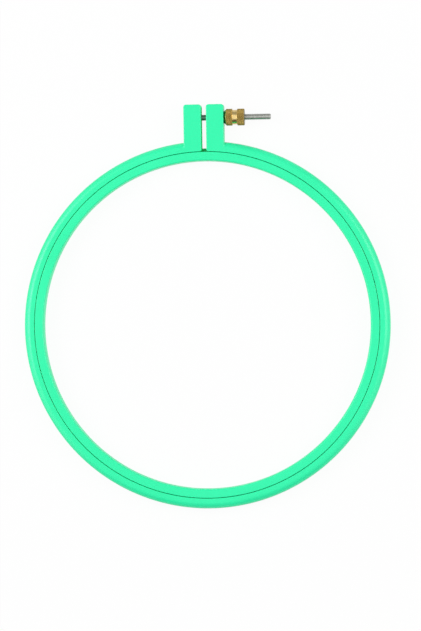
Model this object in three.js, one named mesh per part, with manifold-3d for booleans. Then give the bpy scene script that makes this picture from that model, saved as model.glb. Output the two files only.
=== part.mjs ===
// Embroidery hoop: an inner ring, a split outer ring that clamps cloth round it,
// and a screw with a knurled brass nut that draws the split together.
// Millimetres. The hoop lies flat: +Z is the front, +Y points to the clamp, +X along the screw.

import * as THREE from 'three';
import { mergeVertices } from 'three/addons/utils/BufferGeometryUtils.js';
import Module from 'manifold-3d';

const wasm = await Module();
wasm.setup();

// Rings
const seamDiameter = 203.2;        // inside of the outer ring: an eight inch hoop
const seamClearance = 0.3;         // radial room for the cloth between the two rings
const innerWall = 5.5;             // inner ring, opening to seam
const innerDepth = 11;             // inner ring, back to front
const outerWall = 6;               // outer ring, seam to outside
const wallDraft = 0.45;            // how far both rings' bare walls lean back to either face
const outerFrontRound = 3.8;       // broad soft edge round the outside of the front
const outerBackRound = 1;
const seamEdgeRound = 0.5;
const openingFrontRound = 1;
const openingBackRound = 0.8;

// Lip behind the inner ring, which stops the outer ring
const lipReach = 2.3;
const lipThickness = 1.7;
const lipClearance = 0.3;
const lipRound = 0.5;

// Lugs either side of the split
const splitGap = 3;
const splitCornerRound = 0.6;
const lugWidth = 10.25;
const lugHeight = 21.5;            // above the outside of the ring
const lugCornerRound = 1.45;
const lugFootRound = 0.8;
const lugEdgeRound = 0.5;
const lugHoleClearance = 0.35;     // radial, so the screw can lean as the ring opens

// Screw, with its hexagon head trapped in a pocket of the left lug
const screwHeight = 13.8;          // axis above the outside of the ring
const screwDiameter = 3.5;
const screwLength = 44.45;         // under the head
const screwTipChamfer = 0.45;
const headAcrossFlats = 6.35;
const headHeight = 2.4;
const headChamfer = 0.45;
const headClearance = 0.25;        // between the head's flats and the pocket
const headWall = 3.65;             // plastic between the pocket's floor and the split
const seatClearance = 0.1;         // under the head, and between nut and lug

// Knurled nut: a cone that bears on the lug, shoulder, knurled band, plain groove, knurled band
const nutDiameter = 9.8;
const nutFaceDiameter = 6.8;
const nutConeDiameter = 8.4;
const nutConeLength = 0.85;
const nutShoulderLength = 0.75;
const innerBandLength = 3.3;
const nutGrooveDiameter = 8.5;
const nutGrooveLength = 3;
const outerBandLength = 4.1;
const nutEndChamfer = 0.35;
const nutBoreChamfer = 0.4;
const threadClearance = 0.09;
const knurlTeeth = 40;
const knurlDepth = 0.35;
const knurlAngle = THREE.MathUtils.degToRad(30);

// Facets
const ringSides = 132;
const roundSides = 32;
const chordError = 0.05;           // how far a round edge's facets may lie inside its curve
const cutMargin = 1;

// What follows from the sizes above
const seamRadius = seamDiameter / 2;
const outerRadius = seamRadius + outerWall;
const innerOutside = seamRadius - seamClearance;
const openingRadius = innerOutside - innerWall;
const lipRadius = innerOutside + lipReach;
const outerBack = lipThickness + lipClearance;
const outerFront = innerDepth;
const outerDepth = outerFront - outerBack;
const lugTop = outerRadius + lugHeight;
const lugSide = splitGap / 2 + lugWidth;
const ringCentreY = -lugHeight / 2;
const screwY = outerRadius + screwHeight;
const screwZ = (outerBack + outerFront) / 2;
const headSeatX = -(splitGap / 2 + headWall);
const nutStartX = lugSide + seatClearance;

// A corner list with a radius at each corner becomes an outline with round corners.
function roundedOutline(corners) {
  const outline = [];
  corners.forEach(([x, y, radius], index) => {
    const corner = new THREE.Vector2(x, y);
    if (!radius) {
      outline.push(corner);
      return;
    }
    const [beforeX, beforeY] = corners.at(index - 1);
    const [afterX, afterY] = corners[(index + 1) % corners.length];
    const back = new THREE.Vector2(beforeX, beforeY).sub(corner).normalize();
    const ahead = new THREE.Vector2(afterX, afterY).sub(corner).normalize();
    const half = Math.acos(back.dot(ahead)) / 2;
    const middle = back.clone().add(ahead).normalize();
    const centre = corner.clone().addScaledVector(middle, radius / Math.sin(half));
    const first = corner.clone().addScaledVector(back, radius / Math.tan(half)).sub(centre);
    const turn = (Math.PI - 2 * half) * Math.sign(ahead.cross(back));
    const widest = 2 * Math.acos(Math.max(0, 1 - chordError / radius));
    const steps = Math.max(2, Math.ceil(Math.abs(turn) / widest));
    for (let step = 0; step <= steps; step += 1) {
      const point = first.clone().rotateAround(new THREE.Vector2(), turn * step / steps);
      outline.push(point.add(centre));
    }
  });
  return outline;
}

function toSolid(geometry) {
  const bare = geometry.clone();
  bare.deleteAttribute('normal');
  bare.deleteAttribute('uv');
  const merged = mergeVertices(bare, 1e-4);
  return new wasm.Manifold(new wasm.Mesh({
    numProp: 3,
    vertProperties: Float32Array.from(merged.attributes.position.array),
    triVerts: Uint32Array.from(merged.index.array),
  }));
}

function toGeometry(solid) {
  const mesh = solid.getMesh();
  const geometry = new THREE.BufferGeometry();
  geometry.setAttribute('position', new THREE.BufferAttribute(mesh.vertProperties, 3));
  geometry.setIndex(new THREE.BufferAttribute(mesh.triVerts, 1));
  return geometry;
}

// A closed section of radius and height, turned about Z.
function turnedAboutZ(section, sides) {
  const closed = [...section, section[0]];
  return new THREE.LatheGeometry(closed, sides).rotateX(Math.PI / 2);
}

// A closed section of radius and distance along X, turned about X.
function turnedAboutX(section, sides) {
  const closed = [...section, section[0]];
  return new THREE.LatheGeometry(closed, sides).rotateZ(-Math.PI / 2);
}

// A prism or round bar along X, at the screw's height.
function barAlongX(radius, fromX, toX, sides, turn = 0) {
  const bar = new THREE.CylinderGeometry(radius, radius, toX - fromX, sides);
  bar.rotateZ(-Math.PI / 2);
  bar.rotateX(turn);
  return bar.translate((fromX + toX) / 2, screwY, screwZ);
}

function innerRing() {
  const section = roundedOutline([
    [openingRadius + wallDraft, 0, openingBackRound],
    [lipRadius, 0, lipRound],
    [lipRadius, lipThickness, lipRound],
    [innerOutside, lipThickness, 0],
    [innerOutside, innerDepth, seamEdgeRound],
    [openingRadius + wallDraft, innerDepth, openingFrontRound],
    [openingRadius, innerDepth / 2, 0],
  ]);
  return toSolid(turnedAboutZ(section, ringSides));
}

function wholeOuterRing() {
  const section = roundedOutline([
    [seamRadius, outerBack, seamEdgeRound],
    [outerRadius - wallDraft, outerBack, outerBackRound],
    [outerRadius, (outerBack + outerFront) / 2, 0],
    [outerRadius - wallDraft, outerFront, outerFrontRound],
    [seamRadius, outerFront, seamEdgeRound],
  ]);
  return toSolid(turnedAboutZ(section, ringSides));
}

// One lug: round corners at the top, and a small fillet where its side meets the ring.
function lug() {
  const root = seamRadius + outerWall / 4;
  const footCentreX = lugSide + lugFootRound;
  const footReach = outerRadius + lugFootRound;
  const footCentreY = Math.sqrt(footReach ** 2 - footCentreX ** 2);
  const footStart = Math.atan2(-footCentreY, -footCentreX);
  const top = roundedOutline([
    [lugSide, footCentreY, 0],
    [lugSide, lugTop, lugCornerRound],
    [splitGap / 2, lugTop, lugCornerRound],
    [splitGap / 2, root, 0],
  ]);
  const outline = new THREE.Shape();
  outline.moveTo(splitGap / 2, root);
  outline.lineTo(lugSide, root);
  outline.absarc(footCentreX, footCentreY, lugFootRound, footStart, -Math.PI, true);
  top.slice(1, -1).forEach((point) => outline.lineTo(point.x, point.y));
  const geometry = new THREE.ExtrudeGeometry(outline, {
    depth: outerDepth - 2 * lugEdgeRound,
    bevelSize: lugEdgeRound,
    bevelOffset: -lugEdgeRound,
    bevelThickness: lugEdgeRound,
    bevelSegments: 3,
    curveSegments: 4,
  });
  return toSolid(geometry.translate(0, 0, outerBack + lugEdgeRound));
}

// The split, a little wider at the seam, where the ring's ends have round corners.
function splitCutter() {
  const outline = new THREE.Shape();
  const half = splitGap / 2;
  const corner = splitCornerRound;
  outline.moveTo(-half - corner, seamRadius - cutMargin);
  outline.lineTo(half + corner, seamRadius - cutMargin);
  outline.absarc(half + corner, seamRadius + corner, corner, -Math.PI / 2, -Math.PI, true);
  outline.lineTo(half, lugTop + cutMargin);
  outline.lineTo(-half, lugTop + cutMargin);
  outline.absarc(-half - corner, seamRadius + corner, corner, 0, -Math.PI / 2, true);
  const geometry = new THREE.ExtrudeGeometry(outline, {
    depth: outerDepth + 2 * cutMargin,
    bevelEnabled: false,
    curveSegments: 4,
  });
  return toSolid(geometry.translate(0, 0, outerBack - cutMargin));
}

function halfSpace(side) {
  const size = 2 * (lugTop + cutMargin);
  return toSolid(new THREE.BoxGeometry(size, size, size).translate(side * size / 2, 0, 0));
}

function screwHole() {
  const radius = screwDiameter / 2 + lugHoleClearance;
  return toSolid(barAlongX(radius, -lugSide - cutMargin, lugSide + cutMargin, roundSides));
}

// The head's pocket opens through the left lug's side, two of its flats facing front and back.
function headPocket() {
  const radius = (headAcrossFlats + 2 * headClearance) / Math.sqrt(3);
  return toSolid(barAlongX(radius, -lugSide - cutMargin, headSeatX, 6, Math.PI / 6));
}

function outerHalf(side, whole) {
  const placed = side < 0 ? lug().mirror([1, 0, 0]) : lug();
  const half = whole.intersect(halfSpace(side)).add(placed);
  return half.subtract(splitCutter()).subtract(screwHole());
}

function screw() {
  const radius = screwDiameter / 2;
  const headRadius = headAcrossFlats / Math.sqrt(3);
  const under = headSeatX - seatClearance;
  const top = under - headHeight;
  const tip = under + screwLength;
  const shank = turnedAboutX([
    new THREE.Vector2(0, top + headChamfer),
    new THREE.Vector2(radius, top + headChamfer),
    new THREE.Vector2(radius, tip - screwTipChamfer),
    new THREE.Vector2(radius - screwTipChamfer, tip),
    new THREE.Vector2(0, tip),
  ], roundSides);
  const crown = turnedAboutX([
    new THREE.Vector2(0, top),
    new THREE.Vector2(headAcrossFlats / 2 - headChamfer, top),
    new THREE.Vector2(headRadius, top + headChamfer),
    new THREE.Vector2(headRadius, under),
    new THREE.Vector2(0, under),
  ], roundSides);
  const hexagon = barAlongX(headRadius, top, under, 6, Math.PI / 6);
  const turned = [shank, crown].map((bar) => toSolid(bar.translate(0, screwY, screwZ)));
  return toSolid(hexagon).intersect(turned[1]).add(turned[0]);
}

// A round bar with a diamond knurl: grooves wind both ways round it, and leave a pointed
// diamond between each four crossings. Rows of points alternate between tip and groove.
function knurledBar(length) {
  const columns = 2 * knurlTeeth;
  const halfDiamond = Math.PI * nutDiameter / columns / Math.tan(knurlAngle);
  const rows = Math.max(2, Math.round(length / halfDiamond));
  const places = [];
  const faces = [];
  const at = (row, column) => row * columns + column % columns;
  for (let row = 0; row <= rows; row += 1) {
    for (let column = 0; column < columns; column += 1) {
      const depth = (row + column) % 2 ? 0 : knurlDepth;
      const radius = nutDiameter / 2 - depth;
      const angle = column * 2 * Math.PI / columns;
      places.push(length * row / rows, radius * Math.cos(angle), radius * Math.sin(angle));
    }
  }
  const nearCentre = places.push(0, 0, 0) / 3 - 1;
  const farCentre = places.push(length, 0, 0) / 3 - 1;
  for (let column = 0; column < columns; column += 1) {
    for (let row = 0; row < rows; row += 1) {
      const corners = [at(row, column), at(row, column + 1), at(row + 1, column + 1), at(row + 1, column)];
      const [a, b, c, d] = (row + column) % 2 ? [...corners.slice(1), corners[0]] : corners;
      faces.push(a, b, c, a, c, d);
    }
    faces.push(nearCentre, at(0, column + 1), at(0, column));
    faces.push(farCentre, at(rows, column), at(rows, column + 1));
  }
  const geometry = new THREE.BufferGeometry();
  geometry.setAttribute('position', new THREE.Float32BufferAttribute(places, 3));
  geometry.setIndex(faces);
  return geometry;
}

function nut() {
  const bandRadius = nutDiameter / 2;
  const coneRadius = nutConeDiameter / 2;
  const grooveRadius = nutGrooveDiameter / 2;
  const boreRadius = screwDiameter / 2 + threadClearance;
  const innerBandX = nutConeLength + nutShoulderLength;
  const grooveX = innerBandX + innerBandLength;
  const outerBandX = grooveX + nutGrooveLength;
  const endX = outerBandX + outerBandLength;
  const turned = (section, sides) => toSolid(turnedAboutX(
    section.map(([radius, along]) => new THREE.Vector2(radius, along)),
    sides,
  ));
  const core = turned([
    [0, 0],
    [nutFaceDiameter / 2, 0],
    [coneRadius, nutConeLength],
    [grooveRadius, innerBandX],
    [grooveRadius, outerBandX + nutEndChamfer],
    [0, outerBandX + nutEndChamfer],
  ], knurlTeeth);
  const chamfers = turned([
    [0, -cutMargin],
    [coneRadius, -cutMargin],
    [coneRadius, nutConeLength],
    [bandRadius, innerBandX],
    [bandRadius + cutMargin, innerBandX],
    [bandRadius + cutMargin, endX - nutEndChamfer - cutMargin],
    [bandRadius - nutEndChamfer, endX],
    [0, endX],
  ], knurlTeeth);
  const bore = turned([
    [0, -cutMargin],
    [boreRadius + nutBoreChamfer + cutMargin, -cutMargin],
    [boreRadius, nutBoreChamfer],
    [boreRadius, endX - nutBoreChamfer],
    [boreRadius + nutBoreChamfer + cutMargin, endX + cutMargin],
    [0, endX + cutMargin],
  ], roundSides);
  const innerBand = toSolid(knurledBar(nutShoulderLength + innerBandLength))
    .translate([nutConeLength, 0, 0]);
  const outerBand = toSolid(knurledBar(outerBandLength)).translate([outerBandX, 0, 0]);
  return core.add(innerBand).add(outerBand)
    .intersect(chamfers)
    .subtract(bore)
    .translate([nutStartX, screwY, screwZ]);
}

const plastic = { color: new THREE.Color(0x44fbb7), roughness: 0.45, metalness: 0 };
const brass = { color: new THREE.Color(0xb98f4a), roughness: 0.35, metalness: 1 };
const steel = { color: new THREE.Color(0xb4b6ae), roughness: 0.3, metalness: 1 };

const hoop = new THREE.Group();
hoop.position.y = ringCentreY;

function addPiece(name, solid, finish) {
  const mesh = new THREE.Mesh(toGeometry(solid), new THREE.MeshStandardMaterial(finish));
  mesh.name = name;
  hoop.add(mesh);
}

const outerRing = wholeOuterRing();
addPiece('inner_ring', innerRing(), plastic);
addPiece('outer_ring_left', outerHalf(-1, outerRing).subtract(headPocket()), plastic);
addPiece('outer_ring_right', outerHalf(1, outerRing), plastic);
addPiece('screw', screw(), steel);
addPiece('nut', nut(), brass);

export default hoop;
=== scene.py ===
# %% [markdown]
# This lesson dresses an embroidery hoop: a plastic inner ring, a split outer ring with two lugs,
# a machine screw and a knurled brass nut. The frame is the engineering model of the same hoop. It
# settles where everything is and what moves, so each piece here is modelled round it, in metres.

# %% Load the frame
import math

import bmesh
import bpy
from mathutils import Matrix, Vector


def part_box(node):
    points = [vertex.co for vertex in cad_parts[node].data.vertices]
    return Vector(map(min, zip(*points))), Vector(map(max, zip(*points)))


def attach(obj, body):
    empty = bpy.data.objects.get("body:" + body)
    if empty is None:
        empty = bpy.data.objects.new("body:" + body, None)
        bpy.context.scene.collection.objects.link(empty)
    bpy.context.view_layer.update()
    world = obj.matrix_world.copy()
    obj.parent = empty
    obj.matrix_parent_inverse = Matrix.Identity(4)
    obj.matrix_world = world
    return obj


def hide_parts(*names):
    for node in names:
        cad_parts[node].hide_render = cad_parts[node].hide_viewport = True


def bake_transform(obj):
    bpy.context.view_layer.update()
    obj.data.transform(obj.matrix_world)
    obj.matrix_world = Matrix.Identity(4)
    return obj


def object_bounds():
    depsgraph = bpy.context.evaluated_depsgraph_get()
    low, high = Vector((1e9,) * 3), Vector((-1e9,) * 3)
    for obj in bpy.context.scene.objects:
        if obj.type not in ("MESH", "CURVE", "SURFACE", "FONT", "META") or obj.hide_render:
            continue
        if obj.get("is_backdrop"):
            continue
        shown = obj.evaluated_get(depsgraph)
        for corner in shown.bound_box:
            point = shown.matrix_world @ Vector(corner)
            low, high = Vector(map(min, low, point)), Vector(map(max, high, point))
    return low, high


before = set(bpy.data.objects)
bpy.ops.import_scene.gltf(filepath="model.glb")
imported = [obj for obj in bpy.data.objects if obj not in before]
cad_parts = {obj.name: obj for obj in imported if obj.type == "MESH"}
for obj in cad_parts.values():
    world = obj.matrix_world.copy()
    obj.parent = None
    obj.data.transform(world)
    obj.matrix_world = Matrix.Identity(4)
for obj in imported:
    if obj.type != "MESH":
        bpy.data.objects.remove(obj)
cad_box = [list(corner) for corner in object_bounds()]
print("the frame holds", ", ".join(sorted(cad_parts)))

# %% [markdown]
# Every size that can be read from the frame is read from it, so that the pieces still fit when the
# engineering model changes. A ring's radii are the nearest and farthest vertices from its centre. The
# lip and the lugs are told from the rest by how far out they reach.

# %% Read the sizes
MM = 0.001
LIP_MARGIN = 0.5 * MM
LUG_MARGIN = 1.0 * MM


def corners(node):
    return [vertex.co.copy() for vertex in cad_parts[node].data.vertices]


inner_points = corners("inner_ring")
right_points = corners("outer_ring_right")
outer_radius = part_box("outer_ring_right")[1].x
ring_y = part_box("outer_ring_right")[0].y + outer_radius
front_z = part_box("inner_ring")[1].z
back_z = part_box("outer_ring_right")[0].z
lug_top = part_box("outer_ring_right")[1].y
lip_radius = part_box("inner_ring")[1].x


def from_centre(point):
    return math.hypot(point.x, point.y - ring_y)


seam_radius = min(from_centre(point) for point in right_points if point.y < ring_y)
opening_radius = min(from_centre(point) for point in inner_points)
inner_outside = max(from_centre(point) for point in inner_points if point.z > back_z)
lip_z = max(point.z for point in inner_points if from_centre(point) > inner_outside + LIP_MARGIN)
lug_points = [point for point in right_points if point.y > ring_y + outer_radius + LUG_MARGIN]
half_split = min(point.x for point in lug_points)
lug_side = max(point.x for point in lug_points)
nut_low, nut_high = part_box("nut")
screw_low, screw_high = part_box("screw")
screw_y = (nut_low.y + nut_high.y) / 2
screw_z = (nut_low.z + nut_high.z) / 2
nut_radius = (nut_high.y - nut_low.y) / 2
for name, value in [("outside", outer_radius), ("seam", seam_radius), ("opening", opening_radius)]:
    print(f"{name} radius {value / MM:.2f} mm")

# %% [markdown]
# The photograph looks almost straight down on the hoop, from a little to its right, and the hoop
# stands a degree off upright in it. Three directions make the camera: backwards, along the line of
# sight, then up and right in the picture. A long lens keeps the far side as large as the near one.

# %% Set the camera
PHOTO_WIDTH = 421
PHOTO_HEIGHT = 631
RING_CENTRE_PX = (206.55, 324.9)
PIXEL = 0.585 * MM
VIEW_TILT = math.radians(4.9)
VIEW_ROLL = math.radians(0.9)
CAMERA_DISTANCE = 2.6
FARTHEST_SEEN = 20

back = Vector((math.sin(VIEW_TILT), 0, math.cos(VIEW_TILT)))
level_up = (Vector((0, 1, 0)) - back * back.y).normalized()
level_right = level_up.cross(back)
up = level_up * math.cos(VIEW_ROLL) + level_right * math.sin(VIEW_ROLL)
right = up.cross(back)
ring_centre = Vector((0, ring_y, front_z))
target = ring_centre + right * (PHOTO_WIDTH / 2 - RING_CENTRE_PX[0]) * PIXEL
target += up * (RING_CENTRE_PX[1] - PHOTO_HEIGHT / 2) * PIXEL

camera_data = bpy.data.cameras.new("photo_camera")
camera_data.lens = camera_data.sensor_width * CAMERA_DISTANCE / (PHOTO_HEIGHT * PIXEL)
camera_data.clip_end = FARTHEST_SEEN
camera = bpy.data.objects.new("photo_camera", camera_data)
bpy.context.scene.collection.objects.link(camera)
aim = Matrix((right, up, back)).transposed().to_4x4()
camera.matrix_world = Matrix.Translation(target + back * CAMERA_DISTANCE) @ aim
bpy.context.scene.camera = camera
bpy.context.scene.view_settings.view_transform = "Standard"
print(f"lens {camera_data.lens:.0f} mm at {CAMERA_DISTANCE} m")

# %% [markdown]
# Node trees are built with a few small helpers. They add a node with its inputs, and they name the
# sums that come up again and again. The sky, the floor and the finishes are all written with them.

# %% Helpers for nodes
def feed(node, inputs):
    """Gives each named input a plain value, or the output that feeds it."""
    for name, value in inputs.items():
        if isinstance(value, bpy.types.NodeSocket):
            node.id_data.links.new(value, node.inputs[name])
        else:
            node.inputs[name].default_value = value


def add(tree, kind, inputs, **settings):
    """Adds a node to a tree."""
    node = tree.nodes.new("ShaderNode" + kind)
    for name, value in settings.items():
        setattr(node, name, value)
    feed(node, inputs)
    return node


def larger(tree, first, second):
    return add(tree, "Math", {0: first, 1: second}, operation="MAXIMUM").outputs["Value"]


def times(tree, first, second):
    return add(tree, "Math", {0: first, 1: second}, operation="MULTIPLY").outputs["Value"]


def rescale(tree, value, low, high, new_low=0, new_high=1):
    """Moves a value from one range to another, and keeps it inside the new one."""
    return add(tree, "MapRange", {"Value": value, "From Min": low, "From Max": high,
                                  "To Min": new_low, "To Max": new_high}).outputs["Result"]


def ramp(tree, share, stops):
    """A colour for each share from 0 to 1, from (share, colour) in rising order."""
    node = add(tree, "ValToRGB", {"Fac": share})
    elements = node.color_ramp.elements
    elements.remove(elements[1])
    elements[0].position, elements[0].color = stops[0]
    for place, colour in stops[1:]:
        elements.new(place).color = colour
    return node.outputs["Color"]


print("node helpers ready")

# %% [markdown]
# The sky is an even white to the camera. Its light on the hoop is lower, because the lamps add
# theirs. Shiny surfaces mirror the white overhead, and brighter walls at the left and right. Past the
# far end of the table it is less than half as bright, and at the near end, where the photographer
# stands, it is dark. That dark side draws the line along the bottom of the screw. Each pair of
# numbers below is the two directions between which the sky changes.

# %% Make the sky
SKY_LEVEL = 0.5
WHITE = (1, 1, 1, 1)
NEAR_END = (0.10, 0.10, 0.10, 1)
FAR_END = (0.4, 0.4, 0.4, 1)
LEFT_WALL = 2.4
RIGHT_WALL = 1.8
NEAR_END_SHARES = (0.13, 0.27)
FAR_END_SHARES = (0.72, 0.85)
WALL_REACH = (0.35, 0.6)

world = bpy.data.worlds.new("studio")
bpy.context.scene.world = world
world.use_nodes = True
sky = world.node_tree
sky.nodes.clear()
path = add(sky, "LightPath", {}).outputs
towards = add(sky, "SeparateXYZ", {0: add(sky, "TexCoord", {}).outputs["Generated"]}).outputs
ends = ramp(sky, rescale(sky, towards["Y"], -1, 1), [
    (NEAR_END_SHARES[0], NEAR_END), (NEAR_END_SHARES[1], WHITE),
    (FAR_END_SHARES[0], WHITE), (FAR_END_SHARES[1], FAR_END)])
wall_start, wall_full = WALL_REACH
walls = larger(sky, rescale(sky, towards["X"], -wall_start, -wall_full, 1, LEFT_WALL),
               rescale(sky, towards["X"], wall_start, wall_full, 1, RIGHT_WALL))
mirrored = times(sky, ends, walls)
plain_ray = larger(sky, path["Is Camera Ray"], path["Is Transmission Ray"])
fill = add(sky, "Background", {"Color": WHITE, "Strength": SKY_LEVEL})
white = add(sky, "Background", {"Color": WHITE, "Strength": larger(sky, plain_ray, mirrored)})
choose = add(sky, "MixShader", {"Fac": larger(sky, plain_ray, path["Is Glossy Ray"]),
                                1: fill.outputs[0], 2: white.outputs[0]})
add(sky, "OutputWorld", {"Surface": choose.outputs[0]})
print(f"the sky lights at {SKY_LEVEL}")

# %% [markdown]
# Two soft boxes stand to the left and the right, as in a catalogue photograph, and the left one is
# the brighter. They draw the pale bands along the rings' rounded edges at both sides, while the
# bottom of the ring has none. Together with the sky they light a colour about as it is written.

# %% Set the lamps
SOFT_BOXES = {
    "left_soft_box": ((-0.85, 0.2, 0.9), 0.75, 6.4),
    "right_soft_box": ((0.9, 0.2, 0.9), 0.75, 5.2),
}

for name, (place, size, power) in SOFT_BOXES.items():
    lamp = bpy.data.lights.new(name, "AREA")
    lamp.size = size
    lamp.energy = power
    box = bpy.data.objects.new(name, lamp)
    bpy.context.scene.collection.objects.link(box)
    box.location = place
    box.rotation_euler = (Vector(place) - ring_centre).to_track_quat("Z", "Y").to_euler()
    print(f"{name}: {power} W")

# %% [markdown]
# The floor is a wide pale sheet just under the hoop. To the camera most of it glows white, so that
# it runs into the white background, but enough of it is lit by the lamps to keep a faint shadow.
# The hoop mirrors a dimmer sheet, since the part close below the metal lies in its own shade.

# %% Lay the floor
FLOOR_SIZE = 3.0
FLOOR_DROP = 0.05 * MM
FLOOR_GLOW = 0.94
MIRRORED_FLOOR = 0.8
PAPER = (0.95, 0.95, 0.95, 1)

floor_mesh = bpy.data.meshes.new("floor")
builder = bmesh.new()
bmesh.ops.create_grid(builder, x_segments=1, y_segments=1, size=FLOOR_SIZE)
bmesh.ops.translate(builder, verts=builder.verts, vec=(0, 0, -FLOOR_DROP))
builder.to_mesh(floor_mesh)
builder.free()
floor = bpy.data.objects.new("floor", floor_mesh)
bpy.context.scene.collection.objects.link(floor)
paper = bpy.data.materials.new("floor_paper")
paper.use_nodes = True
sheet = paper.node_tree
sheet.nodes.clear()
path = add(sheet, "LightPath", {}).outputs
plain_ray = larger(sheet, path["Is Camera Ray"], path["Is Transmission Ray"])
share = larger(sheet, times(sheet, plain_ray, FLOOR_GLOW), path["Is Glossy Ray"])
lit = add(sheet, "BsdfDiffuse", {"Color": PAPER})
glow = add(sheet, "Emission", {"Color": WHITE, "Strength": larger(sheet, plain_ray, MIRRORED_FLOOR)})
surface = add(sheet, "MixShader", {"Fac": share, 1: lit.outputs[0], 2: glow.outputs[0]})
add(sheet, "OutputMaterial", {"Surface": surface.outputs[0]})
floor_mesh.materials.append(paper)
floor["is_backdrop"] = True
print("floor laid")

# %% [markdown]
# Four helpers serve all the pieces. A bmesh becomes an object. A boolean joins or cuts two solids and
# keeps only the result. Smooth shading stops at a piece's sharp edges. A ring is spun from a section
# with sharp corners, and each corner is then rounded along the whole ring by a bevel. Vertices that
# an operator made are found again by their place, and the two tolerances say how close is the same.

# %% Helpers for making pieces
SHARP_ANGLE = math.radians(32)
RING_STEPS = 240
ROUND_STEP = 0.4 * MM
FEWEST_ROUND_STEPS = 3
SAME_PLACE = 1e-6
SAME_LEVEL = 1e-7


def to_object(builder, name):
    mesh = bpy.data.meshes.new(name)
    bmesh.ops.recalc_face_normals(builder, faces=builder.faces)
    builder.to_mesh(mesh)
    builder.free()
    piece = bpy.data.objects.new(name, mesh)
    bpy.context.scene.collection.objects.link(piece)
    return piece


def combine(piece, tool, operation):
    """Joins tool to piece, cuts it away or keeps what they share, and removes the tool."""
    step = piece.modifiers.new("combine", "BOOLEAN")
    step.operation = operation
    step.solver = "EXACT"
    step.object = tool
    bpy.context.view_layer.update()
    solid = piece.evaluated_get(bpy.context.evaluated_depsgraph_get())
    mesh = bpy.data.meshes.new_from_object(solid)
    piece.modifiers.clear()
    piece.data = mesh
    bpy.data.objects.remove(tool)


def shade(piece):
    """Smooth shading that keeps hard edges hard and flat faces flat."""
    piece.data.shade_smooth()
    piece.data.set_sharp_from_angle(angle=SHARP_ANGLE)
    normals = piece.modifiers.new("even_normals", "WEIGHTED_NORMAL")
    normals.keep_sharp = True


def spun_ring(section):
    """A ring about the hoop's axis from (radius, height, corner radius) and its rounded corners."""
    builder = bmesh.new()
    points = [builder.verts.new((radius, ring_y, height)) for radius, height, _ in section]
    edges = [builder.edges.new((points[i - 1], points[i])) for i in range(len(points))]
    bmesh.ops.spin(builder, geom=points + edges, cent=(0, ring_y, 0), axis=(0, 0, 1),
                   angle=math.tau, steps=RING_STEPS, use_merge=True, use_duplicate=False)
    for index, (radius, height, round_radius) in enumerate(section):
        if round_radius:
            before, here, after = [Vector(section[i % len(section)][:2])
                                   for i in (index - 1, index, index + 1)]
            half_angle = (before - here).angle(after - here) / 2
            corner = [edge for edge in builder.edges if all(
                abs(from_centre(v.co) - radius) < SAME_PLACE and abs(v.co.z - height) < SAME_PLACE
                for v in edge.verts)]
            bmesh.ops.bevel(builder, geom=corner, offset=round_radius / math.tan(half_angle),
                            offset_type="OFFSET", profile=0.5, affect="EDGES", material=-1,
                            segments=max(FEWEST_ROUND_STEPS, round(round_radius / ROUND_STEP)))
    return builder


print("helpers ready")

# %% [markdown]
# The inner ring is one moulding. Its section is an L: a wall that the cloth lies round, and a thin
# lip behind it that stops the outer ring. The wall of the opening leans back from the mould's
# parting line, which is at half its depth, to both faces. Spinning the section about the hoop's axis
# is the direct way to make all this, because every moulded edge then runs round the ring as one loop.

# %% Make the inner ring
WALL_DRAFT = 0.45 * MM
PARTING_ROUND = 2.0 * MM
OPENING_FRONT_ROUND = 1.0 * MM
OPENING_BACK_ROUND = 0.8 * MM
LIP_ROUND = 0.5 * MM
INNER_SEAM_ROUND = 0.3 * MM

inner_ring = to_object(spun_ring([
    (opening_radius + WALL_DRAFT, 0, OPENING_BACK_ROUND),
    (lip_radius, 0, LIP_ROUND),
    (lip_radius, lip_z, LIP_ROUND),
    (inner_outside, lip_z, 0),
    (inner_outside, front_z, INNER_SEAM_ROUND),
    (opening_radius + WALL_DRAFT, front_z, OPENING_FRONT_ROUND),
    (opening_radius, front_z / 2, PARTING_ROUND),
]), "inner_ring_moulding")
shade(inner_ring)
print("inner ring faces:", len(inner_ring.data.polygons))

# %% [markdown]
# A lug is a stack of outlines, and the walls between them are bridged. Each outline starts with a few
# sharp corners, and a corner is rounded by bevelling its vertex. Near the front and back the outlines
# draw in, which rounds the lug's edges. A small fillet at the foot runs into the ring and follows its
# rounded section, so each outline asks how far out the ring reaches at its own height. The lug goes
# down to the seam, because its inner side is also the end of the split ring, and there it draws in
# with the ring's smaller rounding.

# %% Helpers for the lugs
OUTER_FRONT_ROUND = 3.8 * MM
OUTER_BACK_ROUND = 1.0 * MM
LUG_CORNER_ROUND = 1.45 * MM
LUG_FOOT_ROUND = 0.8 * MM
LUG_EDGE_ROUND = 0.5 * MM
OUTER_SEAM_ROUND = 0.2 * MM
SPLIT_CORNER_ROUND = 1.0 * MM
ROOT_DEPTH = 0.9 * MM
SUNK = 0.02 * MM
CORNER_STEPS = 6
EDGE_STEPS = 4
WALL_STEPS = 16


def ring_reach(height):
    """The radius of the outer ring's outside at a height."""
    middle = (back_z + front_z) / 2
    lean = math.atan2(WALL_DRAFT, front_z - middle)
    face, rounding = (back_z, OUTER_BACK_ROUND) if height < middle else (front_z, OUTER_FRONT_ROUND)
    depth = abs(face - height)
    if depth > rounding:
        return outer_radius - WALL_DRAFT * abs(height - middle) / (front_z - middle)
    round_centre = outer_radius - WALL_DRAFT - rounding / math.tan(math.pi / 4 + lean / 2)
    return round_centre + math.sqrt(rounding ** 2 - (rounding - depth) ** 2)


def round_corner(builder, place, radius):
    vertex = min(builder.verts, key=lambda v: (v.co - place).length)
    first, second = [edge.other_vert(vertex).co - vertex.co for edge in vertex.link_edges]
    offset = radius / math.tan(first.angle(second) / 2)
    bmesh.ops.bevel(builder, geom=[vertex], offset=offset, offset_type="OFFSET",
                    segments=CORNER_STEPS, profile=0.5, affect="VERTICES", material=-1)


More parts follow.
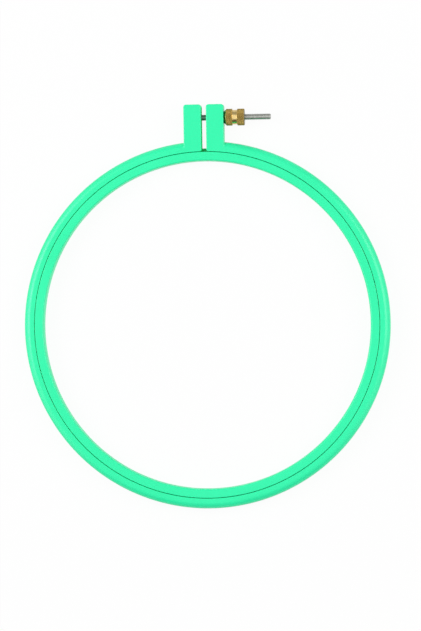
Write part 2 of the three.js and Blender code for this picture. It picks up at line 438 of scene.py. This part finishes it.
def lug_outline(builder, height, inset):
    """Adds the right lug's outline at a height, drawn in by the inset, and gives its edges."""
    centre = Vector((0, ring_y, height))
    inner, outer, top = half_split + inset, lug_side - inset, lug_top - ring_y - inset
    reach = ring_reach(height) - SUNK
    foot_x = outer + LUG_FOOT_ROUND
    foot_y = math.sqrt((reach + LUG_FOOT_ROUND) ** 2 - foot_x ** 2)
    outward = Vector((foot_x, foot_y, 0)).normalized()
    along = Vector((-outward.y, outward.x, 0))
    touch = outward * reach
    root_y = math.sqrt((seam_radius + ROOT_DEPTH) ** 2 - outer ** 2)
    above_round = max(0, OUTER_SEAM_ROUND - min(height - back_z, front_z - height))
    seam_inset = OUTER_SEAM_ROUND - math.sqrt(OUTER_SEAM_ROUND ** 2 - above_round ** 2)
    outline = [
        (Vector((inner, seam_radius + seam_inset, 0)), SPLIT_CORNER_ROUND - inset),
        (Vector((outer, root_y, 0)), 0),
        (touch - along * SUNK, 0),
        (touch + along * (touch.x - outer) / outward.y, LUG_FOOT_ROUND),
        (Vector((outer, top, 0)), LUG_CORNER_ROUND - inset),
        (Vector((inner, top, 0)), LUG_CORNER_ROUND - inset),
    ]
    builder.faces.new([builder.verts.new(centre + place) for place, _ in outline])
    for place, rounding in outline:
        if rounding:
            round_corner(builder, centre + place, rounding)
    return [edge for edge in builder.edges
            if all(abs(v.co.z - height) < SAME_LEVEL for v in edge.verts)]


def lug_levels():
    """The height of each outline and how far it is drawn in, from the back to the front."""
    turns = [math.pi / 2 * step / EDGE_STEPS for step in range(EDGE_STEPS)]
    edge = [(LUG_EDGE_ROUND * (1 - math.cos(turn)), LUG_EDGE_ROUND * (1 - math.sin(turn)))
            for turn in turns]
    low, high = back_z + LUG_EDGE_ROUND, front_z - LUG_EDGE_ROUND
    walls = [(low + (high - low) * step / WALL_STEPS, 0) for step in range(WALL_STEPS + 1)]
    return ([(back_z + depth, inset) for depth, inset in edge] + walls
            + [(front_z - depth, inset) for depth, inset in reversed(edge)])


def lug(side):
    """One lug, flush with the front and back of the ring. Side is 1 for right and -1 for left."""
    builder = bmesh.new()
    rims = [lug_outline(builder, height, inset) for height, inset in lug_levels()]
    between = [face for face in builder.faces
               if back_z + SAME_LEVEL < face.verts[0].co.z < front_z - SAME_LEVEL]
    bmesh.ops.delete(builder, geom=between, context="FACES_ONLY")
    for lower, upper in zip(rims, rims[1:]):
        bmesh.ops.bridge_loops(builder, edges=lower + upper)
    bmesh.ops.scale(builder, verts=builder.verts, vec=(side, 1, 1))
    return to_object(builder, "lug")


print("lug helpers ready")

# %% [markdown]
# The hole, the pocket, the screw and the nut all lie along the screw's line. Each is a spindle: a
# round or six-sided face that is extruded from one station to the next along the line, and widened
# or narrowed at each, as a turner works along a bar.

# %% Helper for spindles
def move_rim(builder, verts, old, new):
    """Moves a round rim along the screw's line, from one (distance along X, radius) to another."""
    (old_x, old_radius), (new_x, new_radius) = old, new
    growth = new_radius / old_radius
    bmesh.ops.scale(builder, verts=verts, vec=(1, growth, growth),
                    space=Matrix.Translation((-old_x, -screw_y, -screw_z)))
    bmesh.ops.translate(builder, verts=verts, vec=(new_x - old_x, 0, 0))


def spindle(stations, sides):
    """A closed solid along the screw's line from (distance along X, radius), in order."""
    builder = bmesh.new()
    first_x, first_radius = stations[0]
    bmesh.ops.create_circle(builder, cap_ends=True, radius=first_radius, segments=sides)
    bmesh.ops.rotate(builder, verts=builder.verts, matrix=Matrix.Rotation(math.pi / 2, 3, "Y"))
    bmesh.ops.translate(builder, verts=builder.verts, vec=(first_x, screw_y, screw_z))
    face = next(iter(builder.faces))
    for index in range(1, len(stations)):
        made = bmesh.ops.extrude_face_region(builder, geom=[face])["geom"]
        if index > 1:
            bmesh.ops.delete(builder, geom=[face], context="FACES_ONLY")
        face = next(item for item in made if isinstance(item, bmesh.types.BMFace))
        move_rim(builder, face.verts, stations[index - 1], stations[index])
    return to_object(builder, "spindle")


print("spindle helper ready")

# %% [markdown]
# The outer ring is one springy moulding, cut through between the lugs. A spun ring is opened by a
# block wider than the split, the lugs close it to the real gap, and a hole for the screw goes
# through both. The left lug also has a pocket that holds the screw's head and keeps it from turning.

# %% Make the outer ring
HOLE_RADIUS = 2.1 * MM
HEAD_FLATS = 6.35 * MM
HEAD_CLEARANCE = 0.25 * MM
HEAD_SEAT_X = -5.15 * MM
MOUTH_CHAMFER = 0.35 * MM
OVERLAP = 1.0 * MM
ROUND_SIDES = 64
HEAD_SIDES = 6


def block(low, high):
    builder = bmesh.new()
    bmesh.ops.create_cube(builder, size=1)
    bmesh.ops.translate(builder, verts=builder.verts, vec=(0.5, 0.5, 0.5))
    bmesh.ops.scale(builder, verts=builder.verts, vec=high - low)
    bmesh.ops.translate(builder, verts=builder.verts, vec=low)
    return to_object(builder, "block")


def hole_stations(near, far):
    """A hole between two faces of a lug, with a cone at each mouth."""
    wide = HOLE_RADIUS + MOUTH_CHAMFER + OVERLAP
    return [(near - OVERLAP, wide), (near + MOUTH_CHAMFER, HOLE_RADIUS),
            (far - MOUTH_CHAMFER, HOLE_RADIUS), (far + OVERLAP, wide)]


outer_ring = to_object(spun_ring([
    (seam_radius, back_z, OUTER_SEAM_ROUND),
    (outer_radius - WALL_DRAFT, back_z, OUTER_BACK_ROUND),
    (outer_radius, (back_z + front_z) / 2, PARTING_ROUND),
    (outer_radius - WALL_DRAFT, front_z, OUTER_FRONT_ROUND),
    (seam_radius, front_z, OUTER_SEAM_ROUND),
]), "outer_ring_moulding")
opened = half_split + SPLIT_CORNER_ROUND
combine(outer_ring, block(Vector((-opened, ring_y, back_z - OVERLAP)),
                          Vector((opened, lug_top, front_z + OVERLAP))), "DIFFERENCE")
for side in (1, -1):
    combine(outer_ring, lug(side), "UNION")
pocket_radius = (HEAD_FLATS + 2 * HEAD_CLEARANCE) / math.sqrt(3)
for hole in (spindle(hole_stations(half_split, lug_side), ROUND_SIDES),
             spindle(hole_stations(-lug_side, -half_split), ROUND_SIDES),
             spindle([(-lug_side - OVERLAP, pocket_radius + MOUTH_CHAMFER + OVERLAP),
                      (-lug_side + MOUTH_CHAMFER, pocket_radius),
                      (HEAD_SEAT_X, pocket_radius)], HEAD_SIDES)):
    combine(outer_ring, hole, "DIFFERENCE")
shade(outer_ring)
print("outer ring faces:", len(outer_ring.data.polygons))

# %% [markdown]
# The screw is a plain machine screw with a thread all along it. The thread is one pitch of its
# outline, spun round the line while it moves along it, so it winds as a real thread does. It is
# trimmed by a spindle that has the screw's length and its bevelled tip, and the head is joined on.

# %% Make the screw
SCREW_RADIUS = 1.75 * MM
THREAD_PITCH = 0.794 * MM
THREAD_DEPTH = 0.14 * MM
CREST_SHARE = 0.34
THREAD_STEPS = 32
TURNS_BEFORE = 2
TURNS_AFTER = 1
THREAD_MERGE = 0.01 * MM
TIP_CHAMFER = 0.45 * MM
HEAD_HEIGHT = 2.4 * MM
HEAD_CHAMFER = 0.45 * MM

under_head = screw_low.x + HEAD_HEIGHT
head_radius = HEAD_FLATS / math.sqrt(3)


def threaded_bar(start, end):
    """A bar with a right-hand thread, a little longer at both ends than start to end."""
    builder = bmesh.new()
    crest, root = SCREW_RADIUS, SCREW_RADIUS - THREAD_DEPTH
    outline = [(0, root), ((0.5 - CREST_SHARE) * THREAD_PITCH, crest),
               (0.5 * THREAD_PITCH, crest), (THREAD_PITCH * (1 - CREST_SHARE), root),
               (THREAD_PITCH, root)]
    first_x = start - TURNS_BEFORE * THREAD_PITCH
    points = [builder.verts.new((first_x + x, screw_y, screw_z + radius)) for x, radius in outline]
    edges = [builder.edges.new(pair) for pair in zip(points, points[1:])]
    turns = math.ceil((end - start) / THREAD_PITCH) + TURNS_BEFORE + TURNS_AFTER
    bmesh.ops.spin(builder, geom=points + edges, cent=(0, screw_y, screw_z), axis=(1, 0, 0),
                   dvec=(THREAD_PITCH / THREAD_STEPS, 0, 0), angle=turns * math.tau,
                   steps=turns * THREAD_STEPS, use_merge=False, use_duplicate=False)
    bmesh.ops.remove_doubles(builder, verts=builder.verts, dist=THREAD_MERGE)
    for place, outward in ((start, -1), (end, 1)):
        bmesh.ops.bisect_plane(builder, geom=builder.verts[:] + builder.edges[:] + builder.faces[:],
                               plane_co=(place, 0, 0), plane_no=(outward, 0, 0), clear_outer=True)
        rim = [edge for edge in builder.edges if edge.is_boundary
               and all(abs(v.co.x - place) < SAME_PLACE for v in edge.verts)]
        bmesh.ops.contextual_create(builder, geom=rim)
    return to_object(builder, "screw_threaded")


screw = threaded_bar(under_head - OVERLAP, screw_high.x + OVERLAP)
clear_radius = SCREW_RADIUS + OVERLAP
combine(screw, spindle([(under_head - OVERLAP / 2, clear_radius),
                        (screw_high.x - TIP_CHAMFER - OVERLAP, clear_radius),
                        (screw_high.x, SCREW_RADIUS - TIP_CHAMFER)], ROUND_SIDES), "INTERSECT")
head = spindle([(screw_low.x, head_radius), (under_head, head_radius)], HEAD_SIDES)
combine(head, spindle([(screw_low.x, HEAD_FLATS / 2 - HEAD_CHAMFER / 2),
                       (screw_low.x + HEAD_CHAMFER, head_radius),
                       (under_head + OVERLAP, head_radius)], ROUND_SIDES), "INTERSECT")
combine(screw, head, "UNION")
shade(screw)
print("screw faces:", len(screw.data.polygons))

# %% [markdown]
# The nut is turned from brass bar: a cone that bears on the lug, a shoulder, and two knurled bands
# with a plain groove between them. The knurl is a flat grid first. Each square gets a middle point,
# and the square's own edges are dissolved, which leaves diamonds. The sheet is rolled up, and each
# diamond is raised by an inset. The rest is then turned from the rims of the two bands.

# %% Make the nut
FACE_RADIUS = 3.4 * MM
CONE_RADIUS = 4.2 * MM
CONE_LENGTH = 0.85 * MM
BAND_START = 1.35 * MM
GROOVE_START = 4.9 * MM
GROOVE_LENGTH = 3.0 * MM
GROOVE_RADIUS = 4.25 * MM
BORE_RADIUS = 1.84 * MM
BORE_CHAMFER = 0.4 * MM
EDGE_CHAMFER = 0.15 * MM
KNURL_TEETH = 40
KNURL_ROWS = 3
KNURL_INSET = 0.17 * MM
KNURL_HEIGHT = 0.15 * MM
RIM_CUTS = 2
MOST_CORNERS = 6
NUT_MERGE = 0.002 * MM

valley_radius = nut_radius - KNURL_HEIGHT
nut_length = nut_high.x - nut_low.x


def is_along_or_round(edge):
    """True for an edge that lies along the nut or straight round it, as the grid's own edges do."""
    step = edge.verts[1].co - edge.verts[0].co
    return abs(step.x) < SAME_LEVEL or math.hypot(step.y, step.z) < SAME_LEVEL


def knurled_sleeve(builder, start, end):
    """Adds a sleeve of raised diamonds, and gives its rims at start and at end."""
    made = bmesh.ops.create_grid(builder, x_segments=KNURL_ROWS, y_segments=KNURL_TEETH, size=0.5)
    verts = made["verts"]
    low, high = min(v.co.x for v in verts), max(v.co.x for v in verts)
    faces = list({face for v in verts for face in v.link_faces})
    poked = bmesh.ops.poke(builder, faces=faces)
    edges = {edge for face in poked["faces"] for edge in face.edges}
    ends = [edge for edge in edges if any(
        all(abs(v.co.x - side) < SAME_PLACE for v in edge.verts) for side in (low, high))]
    bmesh.ops.subdivide_edges(builder, edges=ends, cuts=RIM_CUTS)
    sheet = list({v for face in poked["faces"] for v in face.verts})
    for vertex in sheet:
        angle = math.tau * (vertex.co.y - low) / (high - low)
        along = (vertex.co.x - low) / (high - low)
        vertex.co = (start + along * (end - start), screw_y + valley_radius * math.cos(angle),
                     screw_z - valley_radius * math.sin(angle))
    bmesh.ops.remove_doubles(builder, verts=sheet, dist=SAME_PLACE)
    sleeve = [face for face in poked["faces"] if face.is_valid]
    inner = {edge for face in sleeve for edge in face.edges
             if not edge.is_boundary and is_along_or_round(edge)}
    bmesh.ops.dissolve_edges(builder, edges=list(inner), use_verts=False)
    diamonds = [face for face in builder.faces if len(face.verts) <= MOST_CORNERS
                and start - SAME_PLACE < face.calc_center_median().x < end + SAME_PLACE]
    builder.normal_update()
    bmesh.ops.inset_individual(builder, faces=diamonds, thickness=KNURL_INSET,
                               depth=KNURL_HEIGHT, use_even_offset=True)
    return [[edge for edge in builder.edges if edge.is_boundary
             and all(abs(v.co.x - place) < SAME_PLACE for v in edge.verts)]
            for place in (start, end)]


def turn_on(builder, rim, stations):
    """Carries a rim on through the stations, which start with its own."""
    for old, new in zip(stations, stations[1:]):
        made = bmesh.ops.extrude_edge_only(builder, edges=rim)["geom"]
        verts = {item for item in made if isinstance(item, bmesh.types.BMVert)}
        rim = [item for item in made if isinstance(item, bmesh.types.BMEdge)
               and verts.issuperset(item.verts)]
        move_rim(builder, list(verts), old, new)


def nut_places(*places):
    return [(nut_low.x + along, radius) for along, radius in places]


builder = bmesh.new()
band_end = nut_length - EDGE_CHAMFER
groove_end = GROOVE_START + GROOVE_LENGTH
near_rim, groove_rim = knurled_sleeve(builder, nut_low.x + BAND_START, nut_low.x + GROOVE_START)
knurled_sleeve(builder, nut_low.x + groove_end, nut_low.x + band_end)
turn_on(builder, groove_rim, nut_places(
    (GROOVE_START, valley_radius), (GROOVE_START + EDGE_CHAMFER, GROOVE_RADIUS),
    (groove_end - EDGE_CHAMFER, GROOVE_RADIUS), (groove_end, valley_radius)))
turn_on(builder, near_rim, nut_places(
    (BAND_START, valley_radius), (CONE_LENGTH, CONE_RADIUS), (0, FACE_RADIUS),
    (0, BORE_RADIUS + BORE_CHAMFER),
    (BORE_CHAMFER, BORE_RADIUS), (nut_length - BORE_CHAMFER, BORE_RADIUS),
    (nut_length, BORE_RADIUS + BORE_CHAMFER), (nut_length, valley_radius - EDGE_CHAMFER),
    (band_end, valley_radius)))
bmesh.ops.remove_doubles(builder, verts=builder.verts, dist=NUT_MERGE)
nut = to_object(builder, "nut_knurled")
shade(nut)
print("nut faces:", len(nut.data.polygons))

# %% [markdown]
# Three finishes dress the hoop. Each starts from the same few lines: a Principled surface, and the
# object's own coordinates, which stay on the piece when it moves. Small helpers spread out a noise,
# blend two colours, measure the distance from the screw's line and lift the surface a little, so that
# each finish reads as a short recipe. A Mix node's colour sockets are picked by number.

# %% Helpers for finishes
MIX_A, MIX_B, MIXED = 6, 7, 2
NOISE_LOW, NOISE_HIGH = 0.3, 0.7
BUMP_HEIGHT = 0.01 * MM


def new_finish(name):
    finish = bpy.data.materials.new(name)
    finish.use_nodes = True
    tree = finish.node_tree
    return finish, tree, add(tree, "TexCoord", {}).outputs["Object"]


def noise(tree, where, scale, detail):
    return add(tree, "TexNoise", {"Vector": where, "Scale": scale, "Detail": detail}).outputs["Fac"]


def spread(tree, cloud, low, high):
    """Stretches the middle of a noise over the range from low to high."""
    return rescale(tree, cloud, NOISE_LOW, NOISE_HIGH, low, high)


def shades(tree, share, first, second):
    """Blends two colours by a share from 0 to 1."""
    mix = add(tree, "Mix", {}, data_type="RGBA")
    feed(mix, {"Factor": share, MIX_A: first, MIX_B: second})
    return mix.outputs[MIXED]


def from_line(tree, where, low, high):
    """Zero at a distance low from the screw's line, one at a distance high."""
    spoke = add(tree, "Mapping", {"Vector": where, "Location": (0, -screw_y, -screw_z),
                                  "Scale": (0, 1, 1)}).outputs["Vector"]
    away = add(tree, "VectorMath", {0: spoke}, operation="LENGTH").outputs["Value"]
    return rescale(tree, away, low, high)


def bumps(tree, height, strength):
    """The normal of a surface that a height lifts by a few microns."""
    return add(tree, "Bump", {"Height": height, "Strength": strength,
                              "Distance": BUMP_HEIGHT}).outputs["Normal"]


def dress(piece, finish, slot, body, *nodes):
    """Puts the finish on a piece, hides the frame's nodes that it stands for, and ties it to the body
    if one is given.
    """
    piece.data.materials.clear()
    piece.data.materials.append(finish)
    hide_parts(*nodes)
    if body:
        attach(piece, body)
    print(f"{piece.name} stands for {', '.join(nodes)}")


print("finish helpers ready")

# %% [markdown]
# Only the two walls of the split are matt, so the line of sight that grazes one finds a dark green.
# These faces carry a number of their own, because a place in space would slip off them as the ring
# opens.

# %% Mark the matt walls
matt = outer_ring.data.attributes.new("matt", "FLOAT", "FACE")
for face in outer_ring.data.polygons:
    in_split = abs(face.center.x) < half_split + SUNK and face.center.y > ring_y + seam_radius
    matt.data[face.index].value = float(in_split)
print("matt faces:", sum(round(mark.value) for mark in matt.data))

# %% [markdown]
# The rings are moulded in one glossy green plastic, coloured all through. Its colour is nearly even,
# so the noise that shifts it is faint and broad. The skin of a moulding is never quite smooth: a
# finer noise moves the gloss a little, and a very fine one lifts the surface by a few microns. Where
# the walls carry their number, they are fully rough.

# %% Green plastic
GREEN_DEEP = (0.017, 0.955, 0.425, 1)
GREEN_PALE = (0.024, 0.985, 0.455, 1)
CLOUD_SCALE = 28
GLOSS_SCALE = 420
SKIN_SCALE = 2600
PLASTIC_ROUGHNESS = (0.28, 0.36)
SKIN_BUMP = 0.12

plastic, tree, where = new_finish("moulded_green_plastic")
in_split = add(tree, "Attribute", {}, attribute_name="matt").outputs["Fac"]
clouds = spread(tree, noise(tree, where, CLOUD_SCALE, 2), 0, 1)
skin = spread(tree, noise(tree, where, GLOSS_SCALE, 3), *PLASTIC_ROUGHNESS)
feed(tree.nodes["Principled BSDF"], {
    "Base Color": shades(tree, clouds, GREEN_DEEP, GREEN_PALE),
    "Roughness": larger(tree, skin, in_split),
    "Normal": bumps(tree, noise(tree, where, SKIN_SCALE, 2), SKIN_BUMP),
})
dress(inner_ring, plastic, "ring_plastic", "inner_ring", "inner_ring")
dress(outer_ring, plastic, "ring_plastic", None, "outer_ring_left", "outer_ring_right")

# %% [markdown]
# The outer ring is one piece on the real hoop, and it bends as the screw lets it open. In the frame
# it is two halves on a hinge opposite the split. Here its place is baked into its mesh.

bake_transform(outer_ring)

# %% [markdown]
# The nut is brass. A colour for each distance from the screw's line tells its parts apart. The cone
# and the bore carry painted shade, a dark colour for the shade of the lug that the cone bears on, and
# the shoulder is plain. The knurl's colours are darkened with painted shade for its diamonds shading
# one another. Its valleys are darker still, with patina and painted shade, and its diamonds are worn
# a little brighter. The groove is told by its place along the nut, and is as bright as the tool left
# it. The knurl is rough too, as it was pressed in and not cut. Turning marks are a noise along the
# nut only.

# %% Brass
BRASS_CONE_PAINTED_SHADE = (0.20, 0.14, 0.04, 1)
BRASS_BRIGHT = (0.93, 0.70, 0.30, 1)
BRASS_VALLEY_PATINA_AND_SHADE = (0.17, 0.105, 0.025, 1)
BRASS_DIAMOND_WORN_AND_SHADED = (0.475, 0.34, 0.105, 1)
BRASS_PLAIN = (0.40, 0.33, 0.13, 1)
TARNISH = (0.30, 0.21, 0.06, 1)
COLOUR_STEP = 0.1
TURNING_SCALE = 9000
TURNING_BUMP = 0.3
TARNISH_SCALE = 700
TARNISH_MOST = 0.3
CUT_ROUGHNESS = 0.24
PRESSED_ROUGHNESS = 0.6

brass, tree, where = new_finish("turned_brass")
along = add(tree, "SeparateXYZ", {"Vector": where}).outputs["X"]
marks = add(tree, "TexNoise", {"W": along, "Scale": TURNING_SCALE, "Detail": 3},
            noise_dimensions="1D").outputs["Fac"]
valley_share = (valley_radius - CONE_RADIUS) / (nut_radius - CONE_RADIUS)
# painted shade: a dark cone for the lug's shade on it, and a darkened knurl for its diamonds' shade
by_radius = ramp(tree, from_line(tree, where, CONE_RADIUS, nut_radius), [
    (0, BRASS_CONE_PAINTED_SHADE), (COLOUR_STEP, BRASS_PLAIN), (valley_share - COLOUR_STEP, BRASS_PLAIN),
    (valley_share, BRASS_VALLEY_PATINA_AND_SHADE), (1, BRASS_DIAMOND_WORN_AND_SHADED)])
groove_middle = nut_low.x + GROOVE_START + GROOVE_LENGTH / 2
in_groove = add(tree, "Math", {0: along, 1: groove_middle, 2: GROOVE_LENGTH / 2 - SUNK},
                operation="COMPARE").outputs["Value"]
turned = shades(tree, in_groove, by_radius, BRASS_BRIGHT)
tarnish = spread(tree, noise(tree, where, TARNISH_SCALE, 4), 0, TARNISH_MOST)
knurled = from_line(tree, where, GROOVE_RADIUS, valley_radius)
feed(tree.nodes["Principled BSDF"], {
    "Base Color": shades(tree, tarnish, turned, TARNISH),
    "Metallic": 1.0,
    "Roughness": rescale(tree, knurled, 0, 1, CUT_ROUGHNESS, PRESSED_ROUGHNESS),
    "Normal": bumps(tree, marks, TURNING_BUMP),
})
dress(nut, brass, "nut_brass", "nut", "nut")

# %% [markdown]
# The screw is steel with a thin bright plating. The plating is cloudy at close range, and the roots
# of the thread keep a little dark oil. On the short piece in the split, painted shade darkens the
# steel and tints it green, for the shade and the green walls between the lugs, and it fades out
# inside the lugs.

# %% Plated steel
STEEL_ROOT = (0.36, 0.37, 0.34, 1)
STEEL_CREST = (0.58, 0.59, 0.55, 1)
SPLIT_PAINTED_SHADE = (0.13, 0.24, 0.19, 1)
PAINTED_SHADE_FADE = 0.6 * MM
PAINTED_SHADE_MOST = 0.9
PLATING_SCALE = 900
PLATING_SHARES = (0.8, 1.0)
PLATING_ROUGHNESS = (0.3, 0.4)

steel, tree, where = new_finish("plated_steel")
clouds = noise(tree, where, PLATING_SCALE, 4)
clean = times(tree, from_line(tree, where, SCREW_RADIUS - THREAD_DEPTH, SCREW_RADIUS),
              spread(tree, clouds, *PLATING_SHARES))
plated = shades(tree, clean, STEEL_ROOT, STEEL_CREST)
along = add(tree, "SeparateXYZ", {"Vector": where}).outputs["X"]
from_middle = add(tree, "Math", {0: along}, operation="ABSOLUTE").outputs["Value"]
# painted shade: the screw turns dark green where it lies between the split's walls
painted_split_shade = rescale(tree, from_middle, half_split, half_split + PAINTED_SHADE_FADE, PAINTED_SHADE_MOST, 0)
feed(tree.nodes["Principled BSDF"], {
    "Base Color": shades(tree, painted_split_shade, plated, SPLIT_PAINTED_SHADE),
    "Metallic": 1.0,
    "Roughness": spread(tree, clouds, *PLATING_ROUGHNESS),
})
dress(screw, steel, "screw_steel", "screw", "screw")

# %% [markdown]
# The last step prints the dressed hoop's box beside the box of the engineering model.

# %% Finish
visual_box = [list(corner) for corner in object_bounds()]
for name, (low, high) in (("frame", cad_box), ("dressed", visual_box)):
    print(name, [round((top - base) / MM, 2) for base, top in zip(low, high)], "mm")
